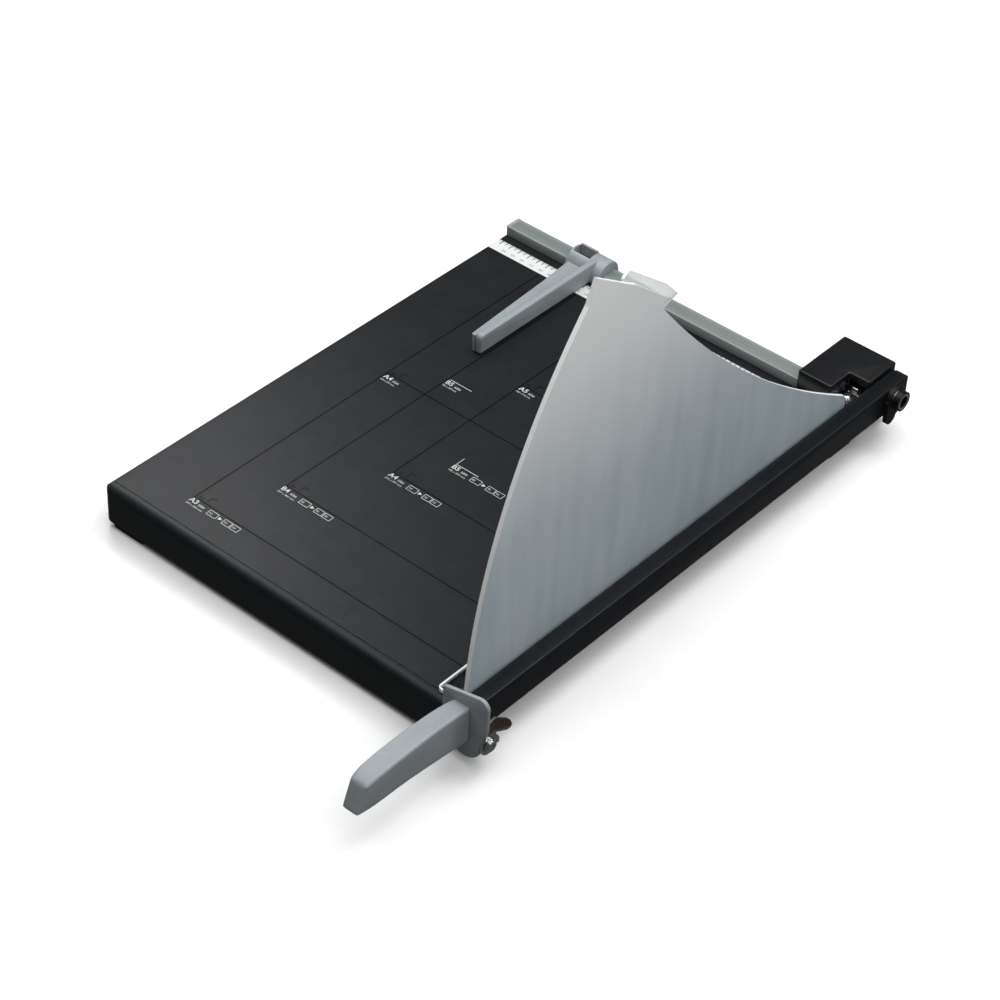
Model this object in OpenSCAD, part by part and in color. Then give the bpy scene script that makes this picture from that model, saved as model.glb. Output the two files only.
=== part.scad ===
// Guillotine paper cutter.
// A folded-steel table with a fence along its back edge, a swinging blade arm on the
// right, a clear paper clamp that carries a fan-shaped hand guard, and a side guide
// that slides along the fence.
// X runs across the table with the blade on the right, Y runs towards the fence, Z is up.
// The modules are drawn about the cutting line (x = 0), the fence face (y = 0) and the
// table top (z = 0); place() then sets the part over the middle of its base.

/* [Table] */
// Width of the table from its left edge to the bed knife
table_w = 353; // [340:1:380]
// Depth of the table in front of the fence face
table_d = 458; // [452:1:470]
// Depth of the table behind the fence face
table_back = 22; // [20:1:24]
// Height of the folded skirt
skirt_h = 31.5; // [28:0.5:34]
// Thickness of the table steel
table_wall = 1.6; // [1.2:0.1:2]
// Radius of the roll along the front edge
front_roll = 6.5; // [4:0.5:8]
// Height of the rubber feet
foot_h = 6; // [5:0.5:8]
// Side length of a rubber foot
foot_size = 38; // [30:1:44]

/* [Fence] */
// Height of the fence above the table
fence_h = 8.5; // [7:0.5:9]
// Depth of the fence, front face to back face
fence_d = 16; // [14:0.5:17]
// Width of the printed rule
rule_w = 15; // [12:0.5:17]
// Gap between the rule and the fence
rule_gap = 9; // [7:0.5:11]

/* [Blade arm] */
// Width of the arm bar
arm_w = 13.6; // [12:0.2:14]
// Height of the arm's top above the table
arm_top = 16; // [14:0.5:18]
// Overall height of the arm bar
arm_h = 24; // [22:0.5:26]
// Thickness of the moving blade
blade_t = 2.4; // [2:0.1:2.6]
// Distance of the pivot behind the fence face
pivot_y = 35; // [33:0.5:37]
// Height of the pivot above the table
pivot_z = 8; // [6:0.5:9]
// Radius of the pivot bolt
pivot_r = 4; // [3:0.25:4.5]
// Length of the handle grip in front of its flange
grip_len = 111.3; // [95:0.1:120]
// Width of the handle grip
grip_w = 17.5; // [15:0.5:20]

/* [Clamp and guard] */
// Width of the clear clamp plate
clamp_w = 26; // [22:0.5:27]
// Thickness of the clear clamp plate
clamp_t = 3; // [2.5:0.1:3.5]
// Thickness of the fan guard
guard_t = 3.5; // [3:0.1:4]
// Height of the guard's top corner above the table
guard_h = 300; // [290:1:305]

/* [Side guide] */
// Length of the guide arm from the fence face
guide_len = 142; // [120:1:160]
// Width of the guide arm at its tip
guide_w = 10.5; // [9:0.5:14]
// Distance of the guide's paper face from the cutting line
guide_set = 259; // [240:1:280]

/* [Hidden] */

$fn = 64;
eps = 0.01;

// Table
left_x = -2 - table_w;
front_y = -table_d;
wall_x = -2;
left_fold = 2;
corner_r = 6;
rule_depth = 0.8;
groove_w = 1.2;
groove_y = front_y + front_roll + 2;

// Cutting line
bed_h = 20;
bed_t = 2;
bed_bar_w = 9;
bed_front = front_y + 2;
shear_gap = 0.05;
bar_x0 = 0.4;
bar_x1 = bar_x0 + arm_w;
bar_z0 = arm_top - arm_h;
bar_front = -459.3;
bar_tail = 57;
blade_top = arm_top - 6.2;
blade_edge = -14;

// Pivot
cheek_t = 3.8;
cheek_eye = 9.5;
cheek_in_x = -6;
cheek_out_x = bar_x1 + 1;
floor_t = 3.4;
bracket_y0 = table_back + 2;
bracket_y1 = 57.8;
bracket_z0 = -29;
bracket_floor = bracket_z0 + floor_t;
bracket_left = -48;
bush_r = 8;
fit = 0.05;
head_r = 8.4;

// Cover over the pivot bracket
cover_top = 20;
cover_wall = 2;
cover_left = -50.5;
cover_notch_x = -19;
cover_front = -3;
cover_notch_y = 22.5;
cover_right = -0.2;
cover_back = 60;

// Clamp, hinged at the back on a pin along X
clamp_right = -3;
clamp_left = clamp_right - clamp_w;
clamp_front = -450;
clamp_back = 22;
clamp_lift = 0.2;
clamp_tail_y = -14;
tail_left = -18;
tail_right = -4;
hinge_y = 24.7;
hinge_z = 5.2;
hinge_r = 1.5;
knuckle_r = 2.6;
knuckle_x0 = -14.8;
knuckle_x1 = -9.8;
leaf_t = 1.2;

// Guard: a fan whose curved front edge follows the blade's swing
guard_x0 = -8;
guard_x1 = guard_x0 + guard_t;
guard_z0 = clamp_lift + clamp_t;
guard_arc = [49, -24, 496];

// Handle and latch
tab_x = 30;
flange_t = 3.4;
flange_y = bar_front - flange_t;
grip_x = 4.8;

// Side guide
guide_right = -guide_set;
guide_left = guide_right - guide_w;
head_left = guide_right - 28;
head_right = guide_right + 9;
head_r_out = 13.5;
head_y = fence_d / 2;
head_z = 4.5;
head_gap = 0.4;
slot_left = head_left + 2.5;
slot_right = slot_left + 18;
guide_root = head_left + 3;
lever_y = fence_d + 2.2;
lever_z = 10.5;

// Where the cutting line, fence face and table top lie in the part's own frame
frame_x = -(left_x + tab_x) / 2;
frame_y = -(flange_y - grip_len + cover_back) / 2;
frame_z = skirt_h + foot_h;

// ---------------------------------------------------------------- helpers

module place()
{
    translate([frame_x, frame_y, frame_z]) children();
}

module box(low, high)
{
    translate(low) cube(high - low);
}

// Cylinder along X from x0 to x1
module rod_x(x0, x1, y, z, r)
{
    translate([x0, y, z]) rotate([0, 90, 0]) cylinder(r = r, h = x1 - x0);
}

// Cylinder along Y from y0 to y1
module rod_y(y0, y1, x, z, r)
{
    translate([x, y0, z]) rotate([-90, 0, 0]) cylinder(r = r, h = y1 - y0);
}

// Extrudes a [y, z] outline along X
module along_x(x0, x1)
{
    translate([x0, 0, 0]) rotate([90, 0, 90]) linear_extrude(x1 - x0) children();
}

// Extrudes an [x, z] outline along Y
module along_y(y0, y1)
{
    translate([0, y1, 0]) rotate([90, 0, 0]) linear_extrude(y1 - y0) children();
}

// Removes the sharp part of one corner of a rectangle: sx, sy point into the rectangle
module corner_cut(x, y, sx, sy, r)
{
    difference() {
        translate([x - (sx > 0 ? 1 : r), y - (sy > 0 ? 1 : r)]) square(r + 1);
        translate([x + sx * r, y + sy * r]) circle(r = r);
    }
}

// Rectangle with its own radius at each corner: low-left, low-right, high-right, high-left
module soft_rect(x0, y0, x1, y1, radii)
{
    difference() {
        translate([x0, y0]) square([x1 - x0, y1 - y0]);
        if (radii[0] > 0) corner_cut(x0, y0, 1, 1, radii[0]);
        if (radii[1] > 0) corner_cut(x1, y0, -1, 1, radii[1]);
        if (radii[2] > 0) corner_cut(x1, y1, -1, -1, radii[2]);
        if (radii[3] > 0) corner_cut(x0, y1, 1, -1, radii[3]);
    }
}

// Points of an arc about c, from angle a0 to a1, in n steps
function arc_points(c, r, a0, a1, n) =
    [for (i = [0:n]) [c[0] + r * cos(a0 + (a1 - a0) * i / n), c[1] + r * sin(a0 + (a1 - a0) * i / n)]];

// Points between p and q on an arc that bows by sag to the right of the way from p to q
function bow_points(p, q, sag, n) =
    let (mid = (p + q) / 2, way = q - p, len = norm(way), side = [way[1], -way[0]] / len)
    [for (i = [1:n - 1]) let (t = 2 * i / n - 1) mid + way * t / 2 + side * sag * (1 - t * t)];

// Countersunk screw along -Z with its head's top at z = 0
module flat_screw(r, len)
{
    difference() {
        union() {
            translate([0, 0, -len]) cylinder(r = r, h = len);
            translate([0, 0, -r]) cylinder(r1 = r, r2 = 2 * r, h = r);
        }
        translate([-1.4 * r, -0.3, -0.6]) cube([2.8 * r, 0.6, 1]);
        translate([-0.3, -1.4 * r, -0.6]) cube([0.6, 2.8 * r, 1]);
    }
}

// Pan-head screw along -Z, the head sitting on z = 0
module pan_screw(r, len)
{
    difference() {
        union() {
            translate([0, 0, -len]) cylinder(r = r, h = len);
            cylinder(r = 2 * r, h = 0.8 * r);
            translate([0, 0, 0.8 * r]) cylinder(r1 = 2 * r, r2 = 1.2 * r, h = 0.4 * r);
        }
        translate([-1.1 * r, -0.3, 0.5 * r]) cube([2.2 * r, 0.6, r]);
        translate([-0.3, -1.1 * r, 0.5 * r]) cube([0.6, 2.2 * r, r]);
    }
}

// ---------------------------------------------------------------- table

// Outer form of the table, grown inwards by inset; sheet folded down on every side
module table_form(inset, z0)
{
    r_front = front_roll - inset;
    r_left = max(left_fold - inset, 0.2);
    r_corner = corner_r - inset;
    x0 = left_x + inset;
    x1 = wall_x - inset;
    y0 = front_y + inset;
    y1 = table_back - inset;
    intersection() {
        along_x(x0, x1) soft_rect(y0, z0, y1, -inset, [0, 0, r_left, r_front]);
        along_y(y0, y1) soft_rect(x0, z0, x1, -inset, [0, 0, 0, r_left]);
        translate([0, 0, z0]) linear_extrude(-z0) soft_rect(x0, y0, x1, y1, [r_corner, 0, 0, r_corner]);
    }
}

module table()
{
    color("#303336") difference() {
        table_form(0, -skirt_h);
        table_form(table_wall, -skirt_h - 1);
        box([left_x - 1, -rule_gap - rule_w, -rule_depth], [wall_x + 1, -rule_gap, 1]);
        box([left_x + 3, groove_y, -0.4], [wall_x + 1, groove_y + groove_w, 1]);
        for (y = bed_screw_y) rod_x(wall_x - 3, wall_x + 1, y, bed_screw_z, bed_screw_r + fit);
        for (x = fence_screw_x) translate([x, fence_d / 2, -3]) cylinder(r = 2 + fit, h = 4);
        for (x = bracket_screw_x) rod_y(table_back - 4, table_back + 1, x, bracket_screw_z, 2.5 + fit);
        for (y = catch_screw_y) rod_x(wall_x - 3, wall_x + 1, y, catch_z + 4, 1.5 + fit);
    }
}

brace_y = [-400, -230, -60];

module table_braces()
{
    color("#26282a") for (y = brace_y) difference() {
        box([left_x + table_wall + 2, y - 14, -14],
            [wall_x - table_wall - bed_bar_w - 1, y + 14, -table_wall]);
        box([left_x, y - 12.6, -15], [wall_x + 1, y + 12.6, -table_wall - 1.4]);
    }
}

foot_inset = 2.5;
foot_x = [left_x + foot_inset + foot_size / 2, wall_x - foot_inset - foot_size / 2];
foot_y = [front_y + foot_inset + foot_size / 2, table_back - foot_inset - foot_size / 2];
foot_plate_z = -skirt_h + 3;
foot_plate_t = 1.6;
foot_recess = 3.5;
foot_screw_r = 2;

// Steel corner plates that tie the skirt together and take the foot screws
module foot_plates()
{
    plate = foot_size + 2 * (foot_inset - table_wall);
    color("#26282a") for (x = foot_x, y = foot_y) difference() {
        translate([x, y, foot_plate_z]) linear_extrude(foot_plate_t)
            soft_rect(-plate / 2, -plate / 2, plate / 2, plate / 2, [5, 5, 5, 5]);
        translate([x, y, foot_plate_z - 1]) cylinder(r = foot_screw_r + fit, h = foot_plate_t + 2);
    }
}

// Rubber block feet with a plug that fills the corner up to its plate
module corner_feet()
{
    half = foot_size / 2;
    plug = half - 2;
    color("#121314") for (x = foot_x, y = foot_y) translate([x, y, 0]) difference() {
        union() {
            translate([0, 0, -frame_z]) linear_extrude(foot_h)
                soft_rect(-half, -half, half, half, [7, 7, 7, 7]);
            translate([0, 0, -skirt_h]) linear_extrude(foot_plate_z + skirt_h)
                soft_rect(-plug, -plug, plug, plug, [5, 5, 5, 5]);
        }
        translate([0, 0, -frame_z - 1]) cylinder(r = 2 * foot_screw_r + 0.5, h = foot_recess + 1);
        translate([0, 0, -frame_z - 1]) cylinder(r = foot_screw_r + fit, h = 20);
    }
}

module foot_screws()
{
    color("silver") for (x = foot_x, y = foot_y)
        translate([x, y, -frame_z + foot_recess]) rotate([180, 0, 0]) pan_screw(foot_screw_r, 9);
}

// ---------------------------------------------------------------- cutting bed and fence

bed_screw_y = [for (i = [0:5]) front_y + 28 + i * 84];
bed_screw_z = -10;
bed_screw_r = 1.8;

// Square steel bar inside the skirt that backs up the bed knife
module bed_bar()
{
    x1 = wall_x - table_wall;
    color("#3c3f42") difference() {
        box([x1 - bed_bar_w, front_y + 8, -22], [x1, table_back - 4, -table_wall]);
        for (y = bed_screw_y) rod_x(x1 - bed_bar_w - 1, x1 + 1, y, bed_screw_z, bed_screw_r + fit);
    }
}

// Fixed knife on the right-hand wall; its upper corner is the cutting line
module bed_knife()
{
    color("#9b9fa3") difference() {
        box([wall_x, bed_front, -bed_h], [wall_x + bed_t, table_back - 2, 0]);
        for (y = bed_screw_y) translate([wall_x + bed_t, y, bed_screw_z]) rotate([0, 90, 0]) {
            translate([0, 0, -3]) cylinder(r = bed_screw_r + fit, h = 4);
            translate([0, 0, -bed_screw_r - 0.1])
                cylinder(r1 = bed_screw_r + fit, r2 = 2 * bed_screw_r + 0.25, h = bed_screw_r + 0.1 + eps);
        }
    }
}

module bed_screws()
{
    color("silver") for (y = bed_screw_y)
        translate([wall_x + bed_t - 0.1, y, bed_screw_z]) rotate([0, 90, 0]) flat_screw(bed_screw_r, 11);
}

// Printed rule let flush into the table
module rule_strip()
{
    color("#e8ebec") box([left_x + 1.2, -rule_gap - rule_w + 0.1, -rule_depth],
                         [wall_x - 0.5, -rule_gap - 0.1, 0]);
}

fence_x0 = left_x + 3;
fence_x1 = -30;
fence_screw_x = [left_x + 30, left_x + 175, -38];
fence_slot_w = 6;

// Extruded fence with a T-slot along its underside
module fence()
{
    color("#9aa6a5") difference() {
        along_x(fence_x0, fence_x1) difference() {
            soft_rect(0, 0, fence_d, fence_h, [0, 0, 1, 0.6]);
            translate([fence_d / 2 - fence_slot_w / 2, -1]) square([fence_slot_w, 3]);
            translate([fence_d / 2 - 5, 2]) square([10, 2.6]);
            for (i = [0:4]) translate([3 + i * 2.2, fence_h - 0.3]) square([0.5, 1]);
        }
    }
}

// Plastic cap that closes the fence's left end
module fence_end_cap()
{
    color("#8b9799") {
        translate([left_x, 0, 0]) linear_extrude(fence_h)
            soft_rect(0, 0, fence_x0 - left_x, fence_d, [1.5, 0, 0, 1.5]);
        box([fence_x0 - 1, fence_d / 2 - 4.8, 2.2], [fence_x0 + 12, fence_d / 2 + 4.8, 4.4]);
    }
}

// Screws from below the table, each in a T-nut that sits in the fence's slot
module fence_screws()
{
    color("silver") for (x = fence_screw_x) translate([x, fence_d / 2, 0]) difference() {
        union() {
            translate([-4, -4.8, 2.05]) cube([8, 9.6, 2.3]);
            translate([0, 0, -table_wall - 2]) cylinder(r = 2, h = table_wall + 6);
            translate([0, 0, -table_wall - 2]) cylinder(r = 3.8, h = 2);
        }
        translate([-3, -0.3, -table_wall - 3]) cube([6, 0.6, 1.8]);
    }
}

// ---------------------------------------------------------------- pivot

// Flat outline of a pivot cheek in [y, z]: a round eye on a straight foot
module cheek_outline(y0, y1, z0)
{
    translate([pivot_y, pivot_z]) circle(r = cheek_eye);
    translate([pivot_y - cheek_eye, z0 + 1]) square([2 * cheek_eye, pivot_z - z0 - 1]);
    soft_rect(y0, z0, y1, z0 + 14, [0, 3, 4, 0]);
}

bracket_screw_x = [-40, -24];
bracket_screw_z = -15;
block_x = -12;
block_y = 28;

// Folded steel bracket: a plate on the table's back, a floor and the cheek that holds the
// bolt
module pivot_bracket()
{
    cheek_x1 = cheek_in_x + cheek_t;
    color("#1b1c1e") difference() {
        union() {
            box([bracket_left, table_back, bracket_z0], [cheek_in_x, bracket_y0, -3]);
            box([bracket_left, table_back, bracket_z0], [cheek_x1, bracket_y1, bracket_floor]);
            along_x(cheek_in_x, cheek_x1) cheek_outline(table_back, bracket_y1, bracket_z0);
        }
        rod_x(cheek_in_x - 1, cheek_x1 + 1, pivot_y, pivot_z, pivot_r + fit);
        for (x = bracket_screw_x) rod_y(table_back - 1, bracket_y0 + 1, x, bracket_screw_z, 2.5 + fit);
        for (x = cover_post_x) translate([x, cover_post_y, bracket_z0 - 1])
            cylinder(r = 1.6 + fit, h = floor_t + 2);
        translate([block_x, block_y, bracket_z0 - 1]) cylinder(r = 1.6 + fit, h = floor_t + 2);
    }
}

lobe_at = [31, -8.5];
lobe_r = 6.5;

// Plate between the arm and the bolt's head, with a round lobe below the bolt
module lock_plate()
{
    color("#232427") along_x(cheek_out_x, cheek_out_x + cheek_t) difference() {
        union() {
            translate([pivot_y, pivot_z]) circle(r = cheek_eye - 0.5);
            translate(lobe_at) circle(r = lobe_r);
            translate([lobe_at[0] - lobe_r, lobe_at[1]]) square([2 * lobe_r + 2, pivot_z - lobe_at[1]]);
        }
        translate([pivot_y, pivot_z]) circle(r = pivot_r + fit);
    }
}

module bracket_screws()
{
    color("silver") for (x = bracket_screw_x)
        translate([x, bracket_y0, bracket_screw_z]) rotate([-90, 0, 0]) pan_screw(2.5, 9);
}

disc_t = 0.65;
bolt_head_x = cheek_out_x + cheek_t + 2 * disc_t + 0.1;

module pivot_bolt()
{
    color("#2a2b2d") difference() {
        union() {
            rod_x(cheek_in_x - 7, bolt_head_x + 1, pivot_y, pivot_z, pivot_r);
            rod_x(bolt_head_x, bolt_head_x + 5.4, pivot_y, pivot_z, head_r);
        }
        translate([bolt_head_x + 2.4, pivot_y, pivot_z]) rotate([0, 90, 0]) cylinder(r = 4.6, h = 5, $fn = 6);
    }
}

module pivot_nut()
{
    color("silver") difference() {
        translate([cheek_in_x - 5, pivot_y, pivot_z]) rotate([0, 90, 0]) cylinder(r = 7.5, h = 5, $fn = 6);
        rod_x(cheek_in_x - 6, cheek_in_x + 1, pivot_y, pivot_z, pivot_r + fit);
    }
}

// Two spring washers that set how stiffly the arm swings
module disc_springs()
{
    x0 = cheek_out_x + cheek_t;
    color("#5c5f62") for (i = [0, 1]) difference() {
        rod_x(x0 + i * (disc_t + 0.05), x0 + i * (disc_t + 0.05) + disc_t, pivot_y, pivot_z, 7.6 + i * 0.4);
        rod_x(x0 - 1, x0 + 3, pivot_y, pivot_z, pivot_r + fit);
    }
}

cover_post_x = [-42, -26];
cover_post_y = bracket_y1 - 7;
post_screw_r = 1.6;

// Outline of the cover seen from above, grown inwards by inset
module cover_outline(inset)
{
    x0 = cover_left + inset;
    y1 = cover_back - inset;
    soft_rect(x0, cover_front + inset, cover_notch_x - inset, y1, [1.5, 1, 0, 1.5]);
    soft_rect(x0, cover_notch_y + inset, cover_right - inset, y1, [0, 1, 1.5, 1.5]);
}

// Black cover over the fence's end and the pivot, with two screw posts
module pivot_cover()
{
    mouth_x = [cover_notch_x + 0.5, cover_right - 2.3];
    bush_room = bush_r + 1.5;
    inner_x = cover_right - cover_wall;
    color("#222427") difference() {
        union() {
            linear_extrude(cover_top) cover_outline(0);
            box([cover_left, cover_back - cover_wall, bracket_z0], [cover_right, cover_back, 4]);
            box([cover_left, table_back + 0.1, bracket_z0], [cover_left + cover_wall, cover_back, 4]);
            box([inner_x, pivot_y + 14, bracket_z0], [cover_right, cover_back, 4]);
        }
        translate([0, 0, -1]) linear_extrude(cover_top - cover_wall + 1) cover_outline(cover_wall);
        box([cover_left - 1, -head_gap, -1],
            [cover_left + cover_wall + 1, fence_d + head_gap, fence_h + head_gap]);
        box([mouth_x[0], cover_notch_y - 1, -1], [mouth_x[1], cover_notch_y + cover_wall + 1, 14]);
        rod_x(inner_x - 1, cover_right + 1, pivot_y, pivot_z, bush_room);
        box([inner_x - 0.05, pivot_y - bush_room, -1], [cover_right + 1, pivot_y + bush_room, pivot_z]);
    }
    color("#222427") for (x = cover_post_x) difference() {
        translate([x, cover_post_y, bracket_floor]) cylinder(r = 4, h = cover_top - 1 - bracket_floor);
        translate([x, cover_post_y, bracket_floor - 1]) cylinder(r = post_screw_r + fit, h = 12);
    }
}

module cover_screws()
{
    color("silver") for (x = cover_post_x)
        translate([x, cover_post_y, bracket_z0]) rotate([180, 0, 0]) pan_screw(post_screw_r, 12);
}

// Block under the cover whose two ears hold the clamp's hinge pin
block_x0 = -18.2;
block_x1 = cheek_in_x - 0.1;
ear_gap = 0.3;

module clamp_hinge_block()
{
    y0 = table_back + 2.05;
    y1 = 31;
    ear_z = hinge_z + knuckle_r;
    color("#3c3f42") difference() {
        union() {
            box([block_x0, y0, bracket_floor], [block_x1, y1, -5]);
            for (x = [[block_x0, knuckle_x0 - ear_gap], [knuckle_x1 + ear_gap, block_x1]]) {
                box([x[0], y0, -6], [x[1], hinge_y + knuckle_r, ear_z]);
                box([x[0], table_back + 0.1, -2.9], [x[1], hinge_y + knuckle_r, ear_z]);
            }
        }
        rod_x(block_x0 - 1, block_x1 + 1, hinge_y, hinge_z, hinge_r + fit);
        translate([block_x, block_y, bracket_floor - 1]) cylinder(r = post_screw_r + fit, h = 12);
    }
}

module clamp_hinge_pin()
{
    color("silver") rod_x(block_x0, block_x1, hinge_y, hinge_z, hinge_r);
}

module clamp_block_screw()
{
    color("silver") translate([block_x, block_y, bracket_z0]) rotate([180, 0, 0]) pan_screw(post_screw_r, 10);
}

// Folded lug at the front of the bed that the latch finger turns towards
catch_y = -438;
catch_z = -29;
catch_screw_y = [catch_y + 6, catch_y + 16];

module catch_lug()
{
    color("silver") difference() {
        union() {
            box([wall_x, catch_y, catch_z], [wall_x + 1.5, catch_y + 22, catch_z + 7.5]);
            box([wall_x, catch_y, catch_z], [wall_x + 13, catch_y + 1.6, catch_z + 7.5]);
        }
        for (y = catch_screw_y) rod_x(wall_x - 1, wall_x + 3, y, catch_z + 4, 1.5 + fit);
    }
}

module catch_screws()
{
    color("silver") for (y = catch_screw_y)
        translate([wall_x + 1.5, y, catch_z + 4]) rotate([0, 90, 0]) pan_screw(1.5, 6);
}

// ---------------------------------------------------------------- blade arm

blade_screw_y = [for (i = [0:5]) -436 + i * 85];
blade_screw_z = 2;
bar_wall = 2.1;
tang_x0 = bar_x0 + 2 * bar_wall + 0.2;
tang_x1 = bar_x1 - bar_wall - 0.1;
tang_mid_x = (tang_x0 + tang_x1) / 2;
tang_z0 = bar_z0 + bar_wall + 0.1;
tang_z1 = arm_top - bar_wall - 0.1;
tang_front = -498;
tang_back = -425;

// Hollow steel bar with a step for the blade on its left face and a solid eye at the pivot
module arm_bar()
{
    recess_x = bar_x0 + bar_wall;
    tail_r = 7;
    tail_top_r = 2;
    color("#202225") difference() {
        along_x(bar_x0, bar_x1) soft_rect(bar_front, bar_z0, bar_tail, arm_top, [0, tail_r, tail_top_r, 0]);
        box([bar_x0 - 1, bar_front - 1, bar_z0 - 1], [recess_x, 20, blade_top + 0.1]);
        box([tang_x0 - 0.1, bar_front - 1, tang_z0 - 0.1], [tang_x1 + 0.1, 16, tang_z1 + 0.1]);
        rod_x(bar_x0 - 1, bar_x1 + 1, pivot_y, pivot_z, bush_r + fit);
        for (y = blade_screw_y) rod_x(recess_x - 1, tang_x0 + 1, y, blade_screw_z, 2 + fit);
    }
}

// Moving blade: flat shear face on the left, ground bevel on the right
module blade()
{
    x1 = shear_gap + blade_t;
    color("#a9adb0") difference() {
        along_y(bed_front + 1, 18)
            polygon([[shear_gap, blade_edge], [shear_gap + 0.4, blade_edge],
                     [x1, blade_edge + 5], [x1, blade_top],
                [shear_gap, blade_top]]);
        for (y = blade_screw_y) {
            rod_x(-1, x1 + 1, y, blade_screw_z, 2 + fit);
            translate([shear_gap, y, blade_screw_z]) rotate([0, 90, 0])
                cylinder(r1 = 4.15, r2 = 2.05, h = 2.15);
        }
    }
}

module blade_screws()
{
    color("silver") for (y = blade_screw_y)
        translate([shear_gap + 0.1, y, blade_screw_z]) rotate([0, -90, 0]) flat_screw(2, 4.3);
}

// Sleeve that turns on the bolt and keeps the arm between its cheeks
module pivot_bush()
{
    color("#b08d57") difference() {
        rod_x(cheek_in_x + cheek_t + 0.1, cheek_out_x - 0.1, pivot_y, pivot_z, bush_r);
        rod_x(cheek_in_x, cheek_out_x + 1, pivot_y, pivot_z, pivot_r + fit);
    }
}

// Steel tang that slides into the bar and carries the handle
module arm_tang()
{
    color("#3c3f42") difference() {
        box([tang_x0, tang_front, tang_z0], [tang_x1, tang_back, tang_z1 - 4]);
        for (y = handle_screw_y) translate([tang_mid_x, y, tang_z0 - 1])
            cylinder(r = handle_screw_r + fit, h = 12);
    }
}

handle_screw_y = [-470, -481];
handle_screw_r = 2;
handle_seat_z = tang_z0 - 1.2;
ear_x0 = 15;
ear_x1 = 22.5;
ear_r = 7;
latch_y = -455;
latch_z = -13;
latch_screw_r = 2.5;

// Outline of the hand-stop flange in [x, z]
flange_outline = concat([[-13, 24.2]], arc_points([22.5, 26.8], 5.5, 104, 0, 8), [[27.6, 2], [22.2, -4.5]],
    arc_points([12.5, -19], 10, 15, -110, 10), [[-3, -27], [-13, -10]]);

// One thin cross-section of the grip, used as an end of a hull
module grip_section(y, w, z0, z1)
{
    along_y(y, y + 0.2) soft_rect(grip_x - w / 2, z0, grip_x + w / 2, z1, [4, 4, 4, 4], $fn = 32);
}

// Stations along the grip: distance from the flange as a share of its length, width as a
// share of grip_w, lower and upper height
grip_stations = [
    [0, 0.80, -13, 19], [0.13, 0.94, -10, 21.5], [0.4, 1, -6.5, 22.5],
    [0.75, 0.98, -0.5, 22.8], [0.92, 0.86, -1.5, 22], [1, 0.60, 1.5, 12]];

module handle()
{
    color("#87918f") difference() {
        union() {
            along_y(flange_y, flange_y + flange_t) polygon(flange_outline);
            for (i = [0:len(grip_stations) - 2]) hull() for (s = [grip_stations[i], grip_stations[i + 1]])
                grip_section(flange_y - s[0] * grip_len, s[1] * grip_w, s[2], s[3]);
            rod_x(ear_x0, ear_x1, latch_y, latch_z, ear_r);
            box([ear_x0, flange_y + flange_t - eps, latch_z - ear_r], [ear_x1, latch_y, latch_z + ear_r]);
        }
        box([tang_x0 - 0.1, tang_front - 0.5, tang_z0 - 0.1], [tang_x1 + 0.1, -400, tang_z1 - 3.9]);
        for (y = handle_screw_y) {
            translate([tang_mid_x, y, handle_seat_z - 1]) cylinder(r = handle_screw_r + fit, h = 20);
            translate([tang_mid_x, y, handle_seat_z - 26]) cylinder(r = 2 * handle_screw_r + 0.4, h = 26);
        }
        rod_x(ear_x0 - 1, ear_x1 + 1, latch_y, latch_z, latch_screw_r - 0.3);
    }
}

module handle_screws()
{
    color("silver") for (y = handle_screw_y)
        translate([tang_mid_x, y, handle_seat_z]) rotate([180, 0, 0]) pan_screw(handle_screw_r, 12);
}

latch_plate_x = ear_x1 + 0.3;
latch_plate_t = 1.6;
tab_len = 13;
tab_angle = asin((tab_x - latch_plate_x - 0.2 - latch_plate_t) / tab_len);

module latch_screw()
{
    x1 = latch_plate_x + latch_plate_t + 0.3;
    color("silver") difference() {
        union() {
            rod_x(ear_x0 + 1, x1 + 1, latch_y, latch_z, latch_screw_r - 0.35);
            rod_x(x1, x1 + 1.6, latch_y, latch_z, 5.6);
            rod_x(x1, x1 + 2.6, latch_y, latch_z, 4.2);
        }
        box([x1 + 1.4, latch_y - 3, latch_z - 0.5], [x1 + 3, latch_y + 3, latch_z + 0.5]);
        box([x1 + 1.4, latch_y - 0.5, latch_z - 3], [x1 + 3, latch_y + 0.5, latch_z + 3]);
    }
}

// Plated lever with a round eye, a turned-out thumb tab and a finger that reaches under
// the arm
module latch_lever()
{
    x0 = latch_plate_x;
    x1 = latch_plate_x + latch_plate_t;
    color("#b9b6ae") difference() {
        union() {
            rod_x(x0, x1, latch_y, latch_z, 8.3);
            along_x(x0, x1) polygon([[latch_y - 3.8, latch_z + 5], [latch_y - 3.8, latch_z + 20],
                [latch_y + 6, latch_z + 22], [latch_y + 7.5, latch_z - 2]]);
            translate([x0 + 0.2, latch_y + 5.5, latch_z]) rotate([0, 0, -tab_angle])
                along_x(0, latch_plate_t) polygon([[-0.5, 9], [-0.5, 20], [1.5, 21], [tab_len - 4, 18],
                    [tab_len - 1, 15], [tab_len, 12], [tab_len - 1, 9], [tab_len - 3.5, 7.5], [4, 8]]);
            box([ear_x0 - 7, latch_y + 8, latch_z - 4], [x1, latch_y + 10.5, latch_z + 1]);
            box([x0, latch_y, latch_z - 4], [x1, latch_y + 10.5, latch_z + 1]);
        }
        rod_x(x0 - 1, x1 + 1, latch_y, latch_z, latch_screw_r - 0.3);
    }
}

// ---------------------------------------------------------------- clamp and guard

module clamp_plate()
{
    color("#c9d2d3", 0.5) translate([0, 0, clamp_lift]) linear_extrude(clamp_t) difference() {
        union() {
            soft_rect(clamp_left, clamp_front, clamp_right, clamp_tail_y, [4, 1.5, 0, 6]);
            soft_rect(tail_left, clamp_tail_y - 20, tail_right, clamp_back, [0, 0, 1, 1]);
        }
        translate(clamp_screw_at) circle(r = 1.75 + fit);
    }
}

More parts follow.
